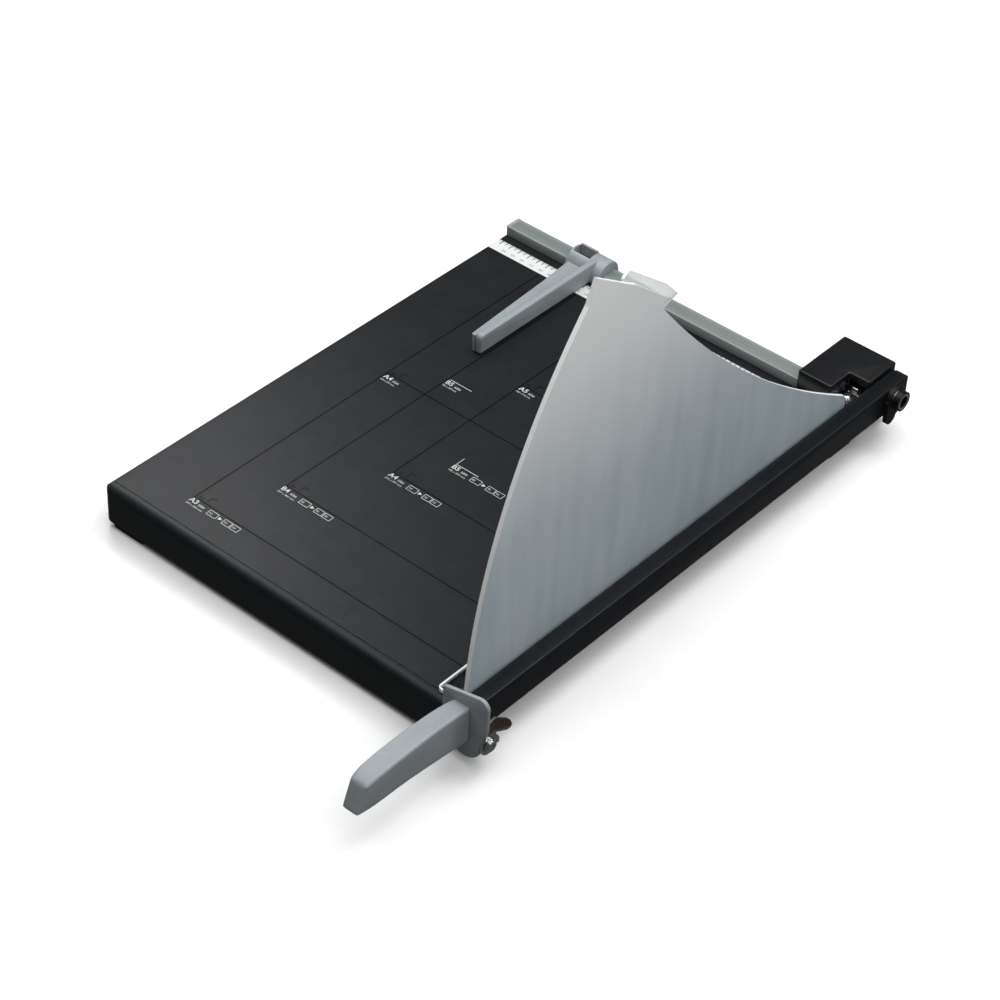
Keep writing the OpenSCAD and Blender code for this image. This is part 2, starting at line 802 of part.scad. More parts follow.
clamp_screw_at = [-13.5, 13];
guard_notch = [-259.3, 237.6];
guard_tail = [-4.7, 19.9];
guard_bow = 15.3;
guard_start = 180 - asin((guard_z0 - guard_arc[1]) / guard_arc[2]);
guard_outline = concat(
    arc_points([guard_arc[0], guard_arc[1]], guard_arc[2], guard_start, 142, 40),
    [[-334, guard_h], [-327.7, guard_h - 4], [-301, 279], [-291, 273], [-253.4, 242.8], guard_notch],
    bow_points(guard_notch, guard_tail, guard_bow, 24), [guard_tail, [-1.2, guard_z0]]);

// Fan guard: its front edge is an arc that stays just behind the handle's path
module hand_guard()
{
    color("#aab3b5", 0.8) along_x(guard_x0, guard_x1) polygon(guard_outline);
}

gusset_y = [-305, -200, -95];

module guard_gussets()
{
    color("#c9d2d3") for (y = gusset_y)
        along_y(y - 1.2, y + 1.2)
            polygon([[guard_x0 - 7, guard_z0], [guard_x0 - 0.02, guard_z0],
                     [guard_x0 - 0.02, guard_z0 + 12]]);
}

// Clear strip along the guard's upper edge
module guard_lip()
{
    color("#dfe4e4", 0.6) along_x(guard_x0 - 2.2, guard_x0 - 0.02)
        polygon([[-303, 272], [-301.6, 281.5], [-296, 285.5], [-251, 251], [-238.5, 237.5], [-256, 232]]);
}

// Steel leaf that joins the clamp's tail to its hinge pin
module clamp_hinge_leaf()
{
    z0 = clamp_lift + clamp_t;
    color("#9b9fa3") difference() {
        union() {
            box([-17.2, 5, z0], [-7.4, 20, z0 + leaf_t]);
            box([knuckle_x0, 19, z0], [knuckle_x1, hinge_y, z0 + leaf_t]);
            rod_x(knuckle_x0, knuckle_x1, hinge_y, hinge_z, knuckle_r);
        }
        rod_x(knuckle_x0 - 1, knuckle_x1 + 1, hinge_y, hinge_z, hinge_r + fit);
        translate([clamp_screw_at[0], clamp_screw_at[1], z0 - 1]) cylinder(r = 1.75 + fit, h = 4);
    }
}

module clamp_screw()
{
    color("silver") translate([clamp_screw_at[0], clamp_screw_at[1], clamp_lift + clamp_t + leaf_t])
        pan_screw(1.75, clamp_t + leaf_t);
}

// ---------------------------------------------------------------- side guide

guide_z0 = 0.4;
guide_top = 17.9;
guide_web_top = 9.6;
guide_pin_r = 1.15;
lever_hub_r = 2.3;

guide_ridge = guide_right - 6;

// Outline of the guide arm across its length in [x, z]: a ridge beside the paper's edge,
// a groove and a lower web
guide_outline = [[guide_root, guide_z0], [guide_root, 8], [guide_root + 1.2, guide_web_top],
    [guide_ridge - 0.6, guide_web_top], [guide_ridge - 0.6, guide_web_top - 0.8],
    [guide_ridge, guide_web_top], [guide_ridge, guide_top - 1.2], [guide_ridge + 1.2, guide_top],
    [guide_right - 1.2, guide_top], [guide_right, guide_top - 1], [guide_right, guide_z0]];

// One moulding: the arm that the paper's edge lies against and the head round the fence
module guide_arm()
{
    color("#85898b") difference() {
        union() {
            intersection() {
                along_y(-guide_len, 2) polygon(guide_outline);
                linear_extrude(40) polygon(concat([[guide_right, 3], [guide_root, 3]],
                    arc_points([guide_left + 3.5, -guide_len + 3.5], 3.5, 180, 270, 6),
                    arc_points([guide_right - 3.5, -guide_len + 3.5], 3.5, 270, 360, 6)));
            }
            rod_x(head_left, head_right, head_y, head_z, head_r_out);
        }
        box([head_left - 1, head_y - 20, head_z - 20], [head_right + 1, head_y + 20, guide_z0]);
        box([head_left - 1, -head_gap, -1], [head_right + 1, fence_d + head_gap, fence_h + head_gap]);
        box([guide_left + 2.4, -guide_len + 4, -1], [guide_right - 2.4, -14, 8]);
        box([slot_left, 2.5, fence_h], [slot_right, fence_d + 7, 30]);
        rod_x(slot_left, slot_right, lever_y, lever_z, lever_hub_r + 0.3);
        rod_x(slot_left - 2, slot_right + 3, lever_y, lever_z, guide_pin_r + 0.02);
    }
}

module guide_pin()
{
    color("silver") rod_x(slot_left - 1.5, slot_right + 2.5, lever_y, lever_z, guide_pin_r);
}

// Thumb lever between the head's ears
module guide_lever()
{
    x0 = slot_left + 0.5;
    x1 = slot_right - 0.5;
    color("#6f7476") difference() {
        union() {
            rod_x(x0, x1, lever_y, lever_z, lever_hub_r);
            box([x0, lever_y - 6, lever_z - 1], [x1, lever_y, lever_z + 1.4]);
            along_x(x0, x1) soft_rect(lever_y - 6, lever_z - 1, lever_y - 3.6, lever_z + 8.5, [0, 0, 1, 1]);
        }
        rod_x(x0 - 1, x1 + 1, lever_y, lever_z, guide_pin_r + fit);
    }
}

place() table();
place() table_braces();
place() foot_plates();
place() corner_feet();
place() foot_screws();
place() bed_bar();
place() bed_knife();
place() bed_screws();
place() rule_strip();
place() fence();
place() fence_end_cap();
place() fence_screws();
place() pivot_bracket();
place() lock_plate();
place() bracket_screws();
place() pivot_bolt();
place() pivot_nut();
place() disc_springs();
place() pivot_cover();
place() cover_screws();
place() clamp_hinge_block();
place() clamp_hinge_pin();
place() clamp_block_screw();
place() catch_lug();
place() catch_screws();
place() arm_bar();
place() blade();
place() blade_screws();
place() pivot_bush();
place() arm_tang();
place() handle();
place() handle_screws();
place() latch_screw();
place() latch_lever();
place() clamp_plate();
place() hand_guard();
place() guard_gussets();
place() guard_lip();
place() clamp_hinge_leaf();
place() clamp_screw();
place() guide_arm();
place() guide_pin();
place() guide_lever();
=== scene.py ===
"""Guillotine paper cutter: looks, new pieces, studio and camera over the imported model."""
import math

import bpy
from mathutils import Matrix, Vector


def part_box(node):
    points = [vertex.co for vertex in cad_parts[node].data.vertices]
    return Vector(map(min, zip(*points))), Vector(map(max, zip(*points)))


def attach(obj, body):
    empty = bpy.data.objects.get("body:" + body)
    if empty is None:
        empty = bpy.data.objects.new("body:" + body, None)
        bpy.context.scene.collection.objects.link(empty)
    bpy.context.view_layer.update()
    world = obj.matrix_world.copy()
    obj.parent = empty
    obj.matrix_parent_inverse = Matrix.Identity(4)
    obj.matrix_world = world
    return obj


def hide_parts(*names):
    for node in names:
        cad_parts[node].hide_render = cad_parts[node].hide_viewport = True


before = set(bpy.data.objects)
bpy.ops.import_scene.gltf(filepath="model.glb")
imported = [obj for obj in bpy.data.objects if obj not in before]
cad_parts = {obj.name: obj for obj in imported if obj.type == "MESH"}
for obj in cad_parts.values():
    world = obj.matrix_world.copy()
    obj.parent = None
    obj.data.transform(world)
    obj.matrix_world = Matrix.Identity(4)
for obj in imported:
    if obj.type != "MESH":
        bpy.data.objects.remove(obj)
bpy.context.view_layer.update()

# The cutting line, the fence's face and the table top, as the model's own boxes give them
CUT = Vector((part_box("bed_knife")[1].x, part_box("fence")[0].y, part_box("fence")[0].z))
MM = 0.001
EYE_RADIUS = 9.5  # way for the pivot's bush through the cover, in millimetres
GLINT_RING_RADIUS = 6.0  # radius of the painted highlight ring on the bolt head
HIGHLIGHT_BAND_WIDTH = 1.6  # width of the painted highlight band along the clear plate's border
GUIDE_WEB_LOW, GUIDE_WEB_HIGH = 9.6, 16  # the guide's lower web at its root and past its tip


def at(x, y, z):
    """A place given in millimetres from the cutting line, the fence's face and the table top."""
    return CUT + Vector((x, y, z)) * MM


def edge(node, side, axis):
    """Millimetres from CUT to one side (0 low, 1 high) of a node's box along axis 0, 1 or 2."""
    return (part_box(node)[side][axis] - CUT[axis]) / MM


# ------------------------------------------------------------------ materials

def linear(colour):
    """sRGB hex to linear RGBA."""
    parts = [int(colour[i:i + 2], 16) / 255 for i in (1, 3, 5)]
    return tuple(c / 12.92 if c < 0.04045 else ((c + 0.055) / 1.055) ** 2.4 for c in parts) + (1,)


def add(tree, kind, inputs=None, **settings):
    """Adds one node; an input that is a socket is linked and any other is set."""
    node = tree.nodes.new(kind)
    for key, value in settings.items():
        setattr(node, key, value)
    for key, value in (inputs or {}).items():
        if isinstance(value, bpy.types.NodeSocket):
            tree.links.new(value, node.inputs[key])
        else:
            node.inputs[key].default_value = value
    return node


def finish_named(name, **shader_inputs):
    """A new material and its shader, with constants on the shader's own sockets."""
    material = bpy.data.materials.new(name)
    material.use_nodes = True
    tree = material.node_tree
    tree.nodes.clear()
    inputs = {key.replace("_", " "): value for key, value in shader_inputs.items()}
    shader = add(tree, "ShaderNodeBsdfPrincipled", inputs)
    add(tree, "ShaderNodeOutputMaterial", {"Surface": shader.outputs[0]})
    return material, tree, shader


def mottled(tree, shader, dark, light, grain_mm, depth_mm, stretch=(1, 1, 1)):
    """Colour that wanders between two tones, and a grain that is pressed or cast into it."""
    place = add(tree, "ShaderNodeTexCoord").outputs["Object"]
    place = add(tree, "ShaderNodeMapping", {"Vector": place, "Scale": stretch}).outputs[0]
    fine = add(tree, "ShaderNodeTexNoise", {"Vector": place, "Scale": 1 / (grain_mm * MM), "Detail": 2.0})
    broad = add(tree, "ShaderNodeTexNoise",
                {"Vector": place, "Scale": 1 / (grain_mm * 14 * MM), "Detail": 3.0})
    mix = add(tree, "ShaderNodeMath", {0: fine.outputs[0], 1: broad.outputs[0]}, operation="ADD")
    tone = add(tree, "ShaderNodeMapRange", {"Value": mix.outputs[0], "From Min": 0.7, "From Max": 1.3})
    colour = add(tree, "ShaderNodeMix", {0: tone.outputs[0], 6: linear(dark), 7: linear(light)},
                 data_type="RGBA")
    bump = add(tree, "ShaderNodeBump",
               {"Height": fine.outputs[0], "Distance": depth_mm * MM, "Strength": 0.6})
    tree.links.new(colour.outputs[2], shader.inputs["Base Color"])
    tree.links.new(bump.outputs[0], shader.inputs["Normal"])
    return colour


def powder_coat():
    # Textured epoxy powder coat: sub-millimetre orange peel that breaks up every reflection
    material, tree, shader = finish_named(
        "textured_powder_coat", Roughness=0.4, IOR=1.45, Specular_IOR_Level=0.25)
    mottled(tree, shader, "#0e1013", "#171a1d", 1.1, 0.16)
    return material


def satin_paint():
    # Smooth baked enamel on the bar: almost even, with a soft broad highlight
    material, tree, shader = finish_named(
        "baked_enamel_black", Roughness=0.4, IOR=1.5, Specular_IOR_Level=0.22)
    mottled(tree, shader, "#0e1013", "#15171a", 1.6, 0.02)
    return material


def painted_steel():
    # Hidden brackets dipped in black paint, with slight runs
    material, tree, shader = finish_named(
        "black_painted_steel", Roughness=0.5, IOR=1.5, Specular_IOR_Level=0.25)
    mottled(tree, shader, "#0e0f11", "#151618", 2.5, 0.05)
    return material


def abs_black():
    # Moulded ABS with fine spark-eroded grain, so its edges catch light and its faces don't
    material, tree, shader = finish_named(
        "moulded_abs_black", Roughness=0.28, IOR=1.53, Specular_IOR_Level=0.35)
    mottled(tree, shader, "#0d0e10", "#141518", 0.8, 0.04)
    return material


def abs_grey(name, dark, light):
    # Moulded ABS dyed blue-grey, satin, with the faint flow marks of a long moulding
    material, tree, shader = finish_named(name, Roughness=0.4, IOR=1.53, Specular_IOR_Level=0.45)
    mottled(tree, shader, dark, light, 0.9, 0.03, (1, 0.4, 1))
    return material


def rubber():
    # Moulded black rubber, dull and slightly dusty
    material, tree, shader = finish_named(
        "moulded_rubber_black", Roughness=0.75, IOR=1.52, Specular_IOR_Level=0.3)
    mottled(tree, shader, "#0d0e0f", "#17181a", 1.0, 0.06)
    return material


def ground_steel():
    # Surface-ground blade steel: fine scratches that run along the blade
    material, tree, shader = finish_named("ground_tool_steel", Metallic=1.0, Roughness=0.3)
    mottled(tree, shader, "#8e9296", "#b7babd", 0.5, 0.02, (1, 0.02, 1))
    return material


def plated(name, dark, light, rough):
    # Nickel plating over pressed steel: bright with small tumbling marks
    material, tree, shader = finish_named(name, Metallic=1.0, Roughness=rough)
    mottled(tree, shader, dark, light, 1.2, 0.01)
    return material


def passivated():
    # Zinc plating: silver round the screw, passivated to dark bronze on the thumb tab
    material, tree, shader = finish_named("passivated_zinc", Metallic=1.0, Roughness=0.24)
    colour = mottled(tree, shader, "#a9a8a4", "#c2c0bb", 1.2, 0.01)
    low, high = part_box("latch_lever")
    axes = add(tree, "ShaderNodeSeparateXYZ", {0: add(tree, "ShaderNodeTexCoord").outputs["Object"]})
    tab = add(tree, "ShaderNodeMapRange", {"Value": axes.outputs[2], "From Min": high.z - 14 * MM,
                                           "From Max": high.z - 10 * MM}, interpolation_type="SMOOTHSTEP")
    bronzed = add(tree, "ShaderNodeMix", {0: tab.outputs[0], 6: colour.outputs[2], 7: linear("#6f6452")},
                  data_type="RGBA")
    tree.links.new(bronzed.outputs[2], shader.inputs["Base Color"])
    return material


def blackened_bolt():
    # Oil-blackened steel, its head's outer ring painted bright grey as a painted highlight
    material, tree, shader = finish_named("blackened_steel", Metallic=0.7, Roughness=0.34)
    colour = mottled(tree, shader, "#141517", "#1f2022", 1.2, 0.01)
    low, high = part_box("pivot_bolt")
    axis = (0, (low.y + high.y) / 2, (low.z + high.z) / 2)
    place = add(tree, "ShaderNodeTexCoord").outputs["Object"]
    around = add(tree, "ShaderNodeVectorMath", {0: place, 1: (0, 1, 1)}, operation="MULTIPLY")
    reach = add(tree, "ShaderNodeVectorMath", {0: around.outputs[0], 1: axis}, operation="DISTANCE")
    # Painted highlight: a thin ring on the bolt head is painted bright grey, standing in for the light caught
    # on its edge
    painted_glint_ring = add(tree, "ShaderNodeMath", {0: reach.outputs["Value"], 1: GLINT_RING_RADIUS * MM, 2: 0.6 * MM},
               operation="COMPARE")
    painted_glint = add(tree, "ShaderNodeMix", {0: painted_glint_ring.outputs[0], 6: colour.outputs[2], 7: linear("#b9bcbe")},
               data_type="RGBA")
    tree.links.new(painted_glint.outputs[2], shader.inputs["Base Color"])
    return material


def anodised():
    # Extruded aluminium, satin anodised grey-green: drawn lines run along the fence
    material, tree, shader = finish_named("satin_anodised_aluminium", Metallic=0.4, Roughness=0.42)
    mottled(tree, shader, "#848d8b", "#949c9a", 0.5, 0.02, (0.02, 1, 1))
    return material


def bronze():
    # Turned bronze bush, coloured very dark, with fine tool rings
    material, tree, shader = finish_named("turned_bronze", Metallic=1.0, Roughness=0.35)
    mottled(tree, shader, "#241f18", "#302920", 0.6, 0.02, (4, 1, 1))
    return material


def painted_rim_mask(tree, axis):
    """1 where the surface doesn't face along the sheet's thickness (axis 0, 1 or 2), else 0: where the
    painted edge highlight goes.
    """
    facing = add(tree, "ShaderNodeSeparateXYZ", {0: add(tree, "ShaderNodeNewGeometry").outputs["Normal"]})
    side = add(tree, "ShaderNodeMath", {0: facing.outputs[axis]}, operation="ABSOLUTE")
    return add(tree, "ShaderNodeMath", {0: side.outputs[0], 1: 0.75}, operation="LESS_THAN").outputs[0]


def frosted_acrylic():
    # Rolled frosted acrylic: grey-blue faces with soft upright streaks; a painted light makes the faces
    # whiter towards the top, and the cut edges are painted bright as a painted highlight
    material, tree, shader = finish_named(
        "frosted_acrylic", Roughness=0.3, IOR=1.49, Specular_IOR_Level=0.5, Transmission_Weight=0.14)
    colour = mottled(tree, shader, "#b0bec5", "#c8d3d8", 16.0, 0.03, (1, 1, 0.15))
    low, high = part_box("hand_guard")
    axes = add(tree, "ShaderNodeSeparateXYZ", {0: add(tree, "ShaderNodeTexCoord").outputs["Object"]})
    # Painted light: the face is painted whiter towards the top of the guard, where the lamps light it more
    painted_top_light = add(tree, "ShaderNodeMapRange",
               {"Value": axes.outputs[2], "From Min": low.z + 0.2 * (high.z - low.z), "From Max": high.z},
               interpolation_type="SMOOTHSTEP")
    painted_top_light_colour = add(tree, "ShaderNodeMix", {0: painted_top_light.outputs[0], 6: colour.outputs[2], 7: linear("#fbfcfc")},
                data_type="RGBA")
    # Painted highlight: the guard's cut edges are painted near white
    bright = add(tree, "ShaderNodeMix", {0: painted_rim_mask(tree, 0), 6: painted_top_light_colour.outputs[2], 7: linear("#fafbfb")},
                 data_type="RGBA")
    tree.links.new(bright.outputs[2], shader.inputs["Base Color"])
    return material


def border_mask(tree, node, band_mm):
    """1 in a band along the four edges of a flat plate, else 0."""
    low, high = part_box(node)
    place = add(tree, "ShaderNodeTexCoord").outputs["Object"]
    axes = add(tree, "ShaderNodeSeparateXYZ", {0: place})
    mask = None
    for axis in (0, 1):
        middle, reach = (low[axis] + high[axis]) / 2, (high[axis] - low[axis]) / 2 - band_mm * MM
        from_middle = add(tree, "ShaderNodeMath", {0: axes.outputs[axis], 1: middle}, operation="SUBTRACT")
        away = add(tree, "ShaderNodeMath", {0: from_middle.outputs[0]}, operation="ABSOLUTE")
        near = add(tree, "ShaderNodeMath", {0: away.outputs[0], 1: reach}, operation="GREATER_THAN")
        mask = near if mask is None else add(
            tree, "ShaderNodeMath", {0: mask.outputs[0], 1: near.outputs[0]}, operation="MAXIMUM")
    return mask.outputs[0]


def clear_acrylic(name, axis, clearness=1.0, bordered=None):
    # Clear cast acrylic: faces that show what lies behind them, cut edges painted pale and opaque as a
    # painted highlight
    material, tree, shader = finish_named(name, Roughness=0.05, IOR=1.2, Specular_IOR_Level=0.5)
    colour = mottled(tree, shader, "#e9eeee", "#f2f5f5", 6.0, 0.002)
    # Painted highlight: the cut edges are painted pale and made opaque
    rim = painted_rim_mask(tree, axis)
    # Painted highlight: with bordered, a band along the plate's four edges is also painted pale and opaque
    if bordered:
        rim = add(tree, "ShaderNodeMath", {0: rim, 1: border_mask(tree, bordered, HIGHLIGHT_BAND_WIDTH)},
                  operation="MAXIMUM").outputs[0]
    bright = add(tree, "ShaderNodeMix", {0: rim, 6: colour.outputs[2], 7: linear("#eef2f2")},
                 data_type="RGBA")
    clear = add(tree, "ShaderNodeMapRange", {"Value": rim, "To Min": clearness, "To Max": 0.0})
    tree.links.new(bright.outputs[2], shader.inputs["Base Color"])
    tree.links.new(clear.outputs[0], shader.inputs["Transmission Weight"])
    return material


def ruled_strip():
    # White enamel print with grey millimetre ticks along its rear half
    material, tree, shader = finish_named("printed_rule", Roughness=0.45, IOR=1.5)
    place = add(tree, "ShaderNodeTexCoord").outputs["Object"]
    axes = add(tree, "ShaderNodeSeparateXYZ", {0: place})
    low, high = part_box("rule_strip")
    ink = None
    for pitch_mm, length_mm, line_mm in ((1, 2.2, 0.25), (5, 4.0, 0.8), (10, 5.5, 1.0)):
        from_cut = add(tree, "ShaderNodeMath", {0: axes.outputs[0], 1: CUT.x}, operation="SUBTRACT")
        along = add(tree, "ShaderNodeMath", {0: from_cut.outputs[0], 1: pitch_mm * MM},
                    operation="FLOORED_MODULO")
        thin = add(tree, "ShaderNodeMath", {0: along.outputs[0], 1: line_mm * MM}, operation="LESS_THAN")
        reach = high.y - length_mm * MM
        near = add(tree, "ShaderNodeMath", {0: axes.outputs[1], 1: reach}, operation="GREATER_THAN")
        tick = add(tree, "ShaderNodeMath", {0: thin.outputs[0], 1: near.outputs[0]}, operation="MULTIPLY")
        if ink is None:
            ink = tick.outputs[0]
        else:
            ink = add(tree, "ShaderNodeMath", {0: ink, 1: tick.outputs[0]}, operation="MAXIMUM").outputs[0]
    colour = add(tree, "ShaderNodeMix", {0: ink, 6: linear("#cfd1d0"), 7: linear("#44474a")},
                 data_type="RGBA")
    tree.links.new(colour.outputs[2], shader.inputs["Base Color"])
    return material


def ink(name, dark, light):
    # Screen-printed ink on the coat: thin, even and a little smoother than the coat
    material, tree, shader = finish_named(name, Roughness=0.5, IOR=1.5, Specular_IOR_Level=0.05)
    mottled(tree, shader, dark, light, 0.8, 0.02)
    return material


GREY_PLASTIC = abs_grey("moulded_abs_grey", "#858b8e", "#90969a")
BLACK_PLASTIC = abs_black()
BLACK_ENAMEL = satin_paint()
BRIGHT = plated("nickel_plated_steel", "#b2b4b5", "#cfd0cf", 0.22)
NODE_FINISHES = {
    "table": powder_coat(),
    "corner_feet": rubber(),
    "rule_strip": ruled_strip(),
    "fence": anodised(),
    "fence_end_cap": GREY_PLASTIC,
    "pivot_cover": BLACK_PLASTIC,
    "pivot_bolt": blackened_bolt(),
    "disc_springs": plated("spring_steel", "#6a6d70", "#85888b", 0.3),
    "pivot_bush": bronze(),
    "arm_bar": BLACK_ENAMEL,
    "handle": GREY_PLASTIC,
    "latch_lever": passivated(),
    "hand_guard": frosted_acrylic(),
    "guide_arm": GREY_PLASTIC,
    "guide_lever": GREY_PLASTIC,
}
PAINTED = painted_steel()
GROUND = ground_steel()
NODE_FINISHES.update({node: PAINTED for node in (
    "table_braces", "foot_plates", "pivot_bracket", "lock_plate", "arm_tang", "bed_bar",
    "clamp_hinge_block")})
NODE_FINISHES.update({node: GROUND for node in ("bed_knife", "blade")})
NODE_FINISHES.update({"clamp_plate": clear_acrylic("clear_acrylic_sheet", 2, 1.0, "clamp_plate"),
                      "guard_gussets": clear_acrylic("clear_acrylic_gussets", 1),
                      "guard_lip": clear_acrylic("clear_acrylic_strip", 0, 0.55)})
for node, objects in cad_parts.items():
    obj = objects if isinstance(objects, bpy.types.Object) else bpy.data.objects[node]
    for index in range(max(1, len(obj.material_slots))):
        if not obj.material_slots:
            obj.data.materials.append(None)
        obj.material_slots[index].material = NODE_FINISHES.get(node, BRIGHT)


# ------------------------------------------------------------------ modelling tools

def only(obj):
    bpy.ops.object.select_all(action="DESELECT")
    obj.select_set(True)
    bpy.context.view_layer.objects.active = obj


def settle(obj, material, body, angle=35):
    """Applies the place, shades, paints and hangs a finished piece on its body."""
    only(obj)
    bpy.ops.object.transform_apply(location=True, rotation=True, scale=True)
    bpy.ops.object.shade_smooth_by_angle(angle=math.radians(angle))
    obj.data.materials.clear()
    obj.data.materials.append(material)
    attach(obj, body)
    return obj


def block(name, low, high):
    bpy.ops.object.select_all(action="DESELECT")
    bpy.ops.mesh.primitive_cube_add(size=1, location=(low + high) / 2, scale=high - low)
    obj = bpy.context.object
    obj.name = name
    bpy.ops.object.transform_apply(location=True, rotation=True, scale=True)
    return obj


def apply_modifier(obj, kind, **settings):
    only(obj)
    modifier = obj.modifiers.new(kind.title(), kind)
    for key, value in settings.items():
        setattr(modifier, key, value)
    bpy.ops.object.modifier_apply(modifier=modifier.name)


def cut_away(obj, cutter):
    apply_modifier(obj, "BOOLEAN", operation="DIFFERENCE", solver="EXACT", object=cutter)
    bpy.data.objects.remove(cutter)


def pick_faces(obj, wanted):
    """Selects only the faces that wanted(face) accepts, and goes into edit mode on them."""
    only(obj)
    bpy.ops.object.mode_set(mode="EDIT")
    bpy.ops.mesh.select_mode(type="FACE")
    bpy.ops.mesh.select_all(action="DESELECT")
    bpy.ops.object.mode_set(mode="OBJECT")
    for face in obj.data.polygons:
        face.select = wanted(face)
    bpy.ops.object.mode_set(mode="EDIT")


def soften(points, radius, steps=5):
    """Rounds every corner of a closed outline; radius may be one number or one per corner."""
    result = []
    count = len(points)
    for i, here in enumerate(points):
        r = radius[i] if isinstance(radius, (list, tuple)) else radius
        here = Vector(here)
        before = Vector(points[i - 1]) - here
        after = Vector(points[(i + 1) % count]) - here
        r = min(r, before.length * 0.49, after.length * 0.49)
        if r <= 0:
            result.append(tuple(here))
            continue
        start = here + before.normalized() * r
        end = here + after.normalized() * r
        for step in range(steps + 1):
            t = step / steps
            result.append(tuple(start * (1 - t) ** 2 + here * 2 * t * (1 - t) + end * t ** 2))
    return result


PLANES = {  # columns: where the outline's first axis, second axis and thickness point
    "XY": Matrix(((1, 0, 0), (0, 1, 0), (0, 0, 1))),
    "YZ": Matrix(((0, 0, 1), (1, 0, 0), (0, 1, 0))),
    "XZ": Matrix(((1, 0, 0), (0, 0, -1), (0, 1, 0))),
}


def plate(name, outline, plane, low, high, rounding=0.4):
    """A closed plate from a flat outline in millimetres, its edges rounded over."""
    curve = bpy.data.curves.new(name, "CURVE")
    curve.dimensions = "2D"
    curve.fill_mode = "BOTH"
    spline = curve.splines.new("POLY")
    spline.points.add(len(outline) - 1)
    for point, (u, v) in zip(spline.points, outline):
        point.co = (u * MM, v * MM, 0, 1)
    spline.use_cyclic_u = True
    curve.extrude = ((high - low) / 2 - rounding) * MM
    curve.bevel_depth = rounding * MM
    curve.bevel_resolution = 2
    curve.offset = -rounding * MM
    obj = bpy.data.objects.new(name, curve)
    bpy.context.collection.objects.link(obj)
    only(obj)
    bpy.ops.object.convert(target="MESH")
    bpy.ops.object.mode_set(mode="EDIT")
    bpy.ops.mesh.select_all(action="SELECT")
    bpy.ops.mesh.remove_doubles(threshold=0.00002)
    bpy.ops.mesh.normals_make_consistent(inside=False)
    bpy.ops.object.mode_set(mode="OBJECT")
    turn = PLANES[plane]
    middle = CUT + turn @ Vector((0, 0, 1)) * ((low + high) / 2 * MM) * (-1 if plane == "XZ" else 1)
    obj.matrix_world = Matrix.Translation(middle) @ turn.to_4x4()
    bpy.ops.object.transform_apply(location=True, rotation=True, scale=True)
    return obj


def join(first, *others):
    only(first)
    for obj in others:
        obj.select_set(True)
    bpy.ops.object.join()
    return first


# ------------------------------------------------------------------ printing on the table

PRINT_LIFT = 0.02
PRINT_THICK = 0.03


def strip(x0, y0, x1, y1, width):
    """A straight printed line between two points on the table top."""
    along_x = abs(x1 - x0) > abs(y1 - y0)
    side = (0, width / 2) if along_x else (width / 2, 0)
    low = at(min(x0, x1) - side[0], min(y0, y1) - side[1], PRINT_LIFT)
    high = at(max(x0, x1) + side[0], max(y0, y1) + side[1], PRINT_LIFT + PRINT_THICK)
    return block("strip", low, high)


def words(body, x, y, size_mm, width=1.0):
    bpy.ops.object.select_all(action="DESELECT")
    bpy.ops.object.text_add(location=at(x, y, PRINT_LIFT + PRINT_THICK / 2))
    obj = bpy.context.object
    obj.data.body = body
    obj.data.size = size_mm * MM
    obj.data.extrude = PRINT_THICK / 2 * MM
    obj.data.offset = 0.08 * MM if size_mm > 4.5 else 0
    obj.data.resolution_u = 4
    bpy.ops.object.convert(target="MESH")
    obj = bpy.context.object
    obj.scale.x = width
    bpy.ops.object.transform_apply(location=True, rotation=True, scale=True)
    return obj


def frame_box(x, y, w, h, text):
    """Small outlined sheet with its size inside."""
    line = 0.42
    parts = [strip(x, y, x + w, y, line), strip(x, y + h, x + w, y + h, line)]
    parts += [strip(x, y, x, y + h, line), strip(x + w, y, x + w, y + h, line)]
    parts.append(words(text, x + 1.0, y + h / 2 - 0.9, 2.6))
    return parts


def arrow(x, y, size):
    tip = plate("arrow", [(x, y - size / 2), (x + size, y), (x, y + size / 2)], "XY",
                PRINT_LIFT, PRINT_LIFT + PRINT_THICK, 0)
    return tip


SHEETS = {  # size name: (distance left of the cutting line, distance in front of the fence)
    "A3": (297, 420), "B4": (257, 364), "A4": (210, 297), "B5": (182, 257)}
HALVES = {"A4": (297, 210), "B5": (257, 182), "A5": (210, 148)}
NEXT_DOWN = {"A3": "A4", "B4": "B5", "A4": "A5", "B5": "B6"}


def white_print():
    parts = []
    for name, (left, front) in SHEETS.items():
        x, y = -left - 1, -front - 5.6
        parts.append(words(name, x, y, 6.4, 1.1))
        parts.append(words("size", x + 9.6, y, 4.2))
        parts.append(words("%d x %d mm" % (left, front), x, y - 3.6, 2.5, 1.15))
        parts += frame_box(x + 20.5, y - 2.2, 9, 5.4, name)
        parts.append(arrow(x + 31.2, y + 0.5, 3.2))
        parts += frame_box(x + 36, y - 2.2, 7.4, 5.4, NEXT_DOWN[name])
        parts += frame_box(x + 44.4, y - 2.2, 7.4, 5.4, NEXT_DOWN[name])
    for name, (left, front) in HALVES.items():
        x, y = -left + 1, -front - 6
        parts.append(words(name, x, y, 6.4, 1.1))
        parts.append(words("size", x + 9.6, y, 4.2))
        parts.append(words("%d x %d mm" % (front, left), x, y - 3.6, 2.5, 1.0))
    left, front = SHEETS["B5"]
    parts += [strip(-left, -front, -left + 22, -front, 0.5), strip(-left, -front, -left, -front + 9, 0.5)]
    left, front = HALVES["B5"]
    parts.append(strip(-left + 2, -front, -left + 24, -front, 0.5))
    return join(*parts)


def corner_note(name, x, y):
    """Small black size name and corner sign inside an outline's corner."""
    return [words(name, x + 2, y + 1.6, 4.0), strip(x + 11, y + 2, x + 11, y + 8, 0.6),
            strip(x + 11, y + 8, x + 16, y + 8, 0.6)]


